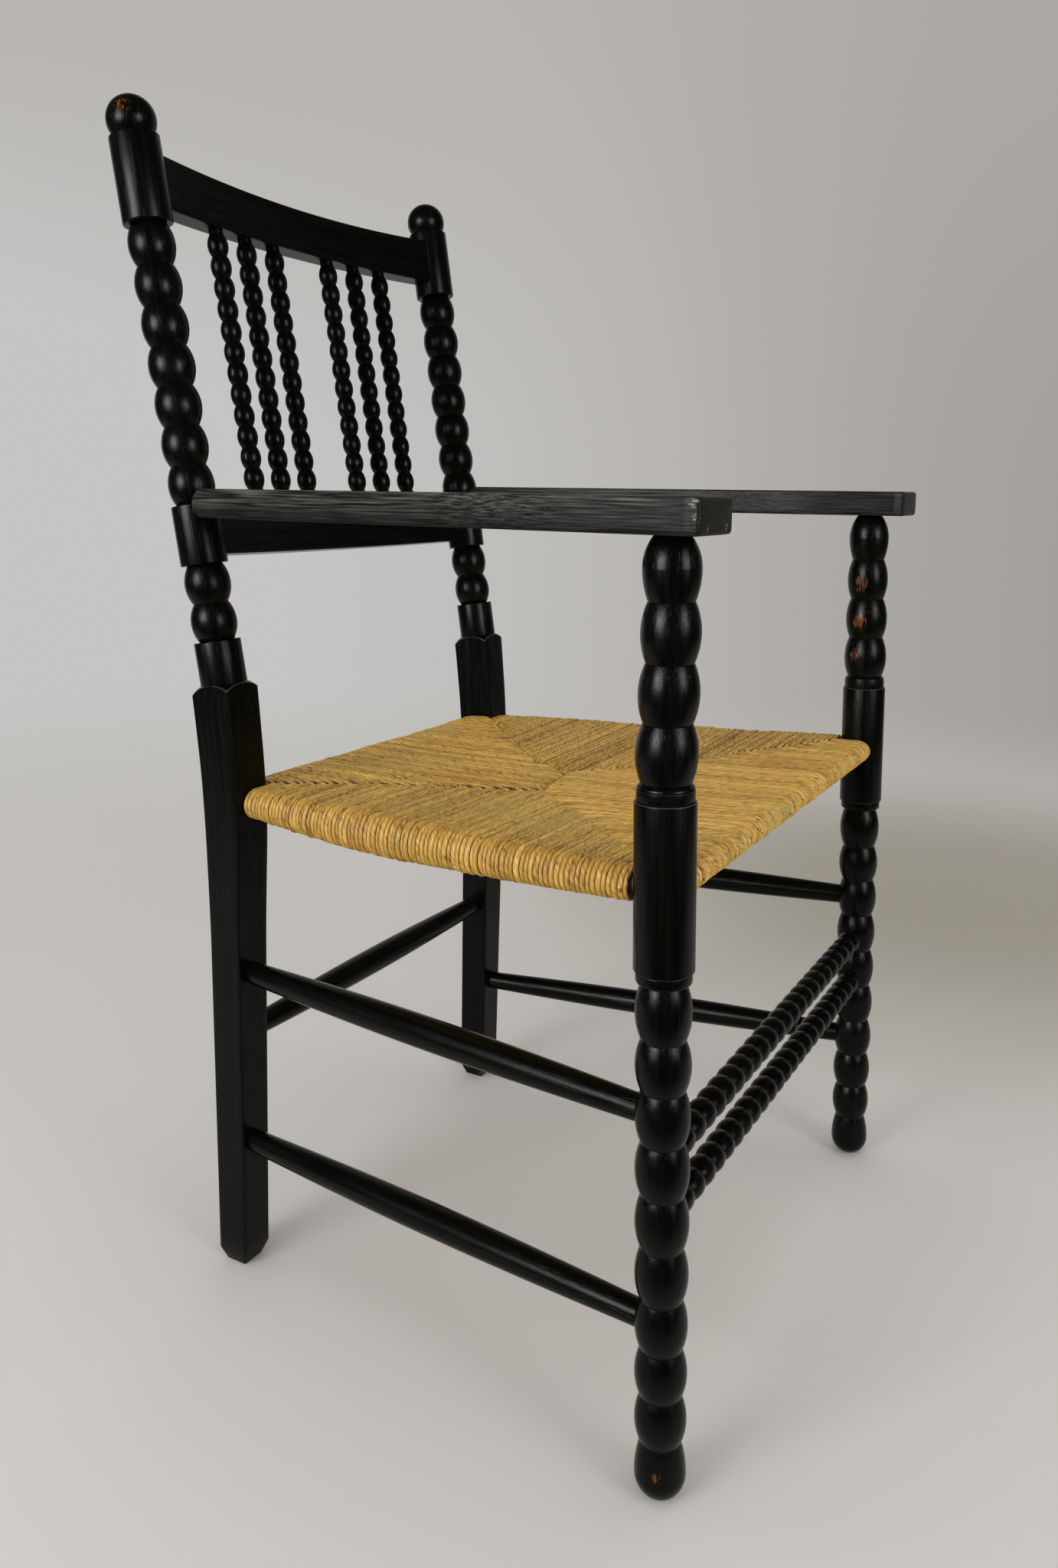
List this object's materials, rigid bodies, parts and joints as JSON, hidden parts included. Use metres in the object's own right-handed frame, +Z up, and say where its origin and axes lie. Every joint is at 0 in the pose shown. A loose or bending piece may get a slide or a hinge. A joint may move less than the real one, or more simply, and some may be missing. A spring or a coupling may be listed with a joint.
{
  "type": "elbow chair",
  "caption": "Free-standing armchair with beaded turned legs and posts, flat shaped arms, a back of beaded spindles between two bowed rails, and a woven rush seat.",
  "frame": {"origin": "on the floor, under the middle of the chair's bounding box", "axes": "+X towards the sitter's left, -Y towards the front of the chair, +Z up"},
  "size_m": [0.58, 0.5452, 0.99],
  "materials": {
    "ebonised_wood": "black stain under a worn satin polish",
    "rail_wood": "plain dark wood, hidden by the rush",
    "rush": "twisted dry rush, straw-coloured with brown and green streaks"
  },
  "bodies": {
    "root": {"right_front_leg": "ebonised_wood", "left_front_leg": "ebonised_wood", "right_back_post": "ebonised_wood", "left_back_post": "ebonised_wood", "crest_rail": "ebonised_wood", "lower_back_rail": "ebonised_wood", "back_spindle_1": "ebonised_wood", "back_spindle_2": "ebonised_wood", "back_spindle_3": "ebonised_wood", "back_spindle_4": "ebonised_wood", "back_spindle_5": "ebonised_wood", "back_spindle_6": "ebonised_wood", "right_arm": "ebonised_wood", "left_arm": "ebonised_wood", "right_upper_side_stretcher": "ebonised_wood", "right_lower_side_stretcher": "ebonised_wood", "left_upper_side_stretcher": "ebonised_wood", "left_lower_side_stretcher": "ebonised_wood", "back_stretcher": "ebonised_wood", "upper_front_stretcher": "ebonised_wood", "lower_front_stretcher": "ebonised_wood", "front_seat_rail": "rail_wood", "back_seat_rail": "rail_wood", "right_seat_rail": "rail_wood", "left_seat_rail": "rail_wood", "rush_seat": "rush"}
  },
  "joints": []
}
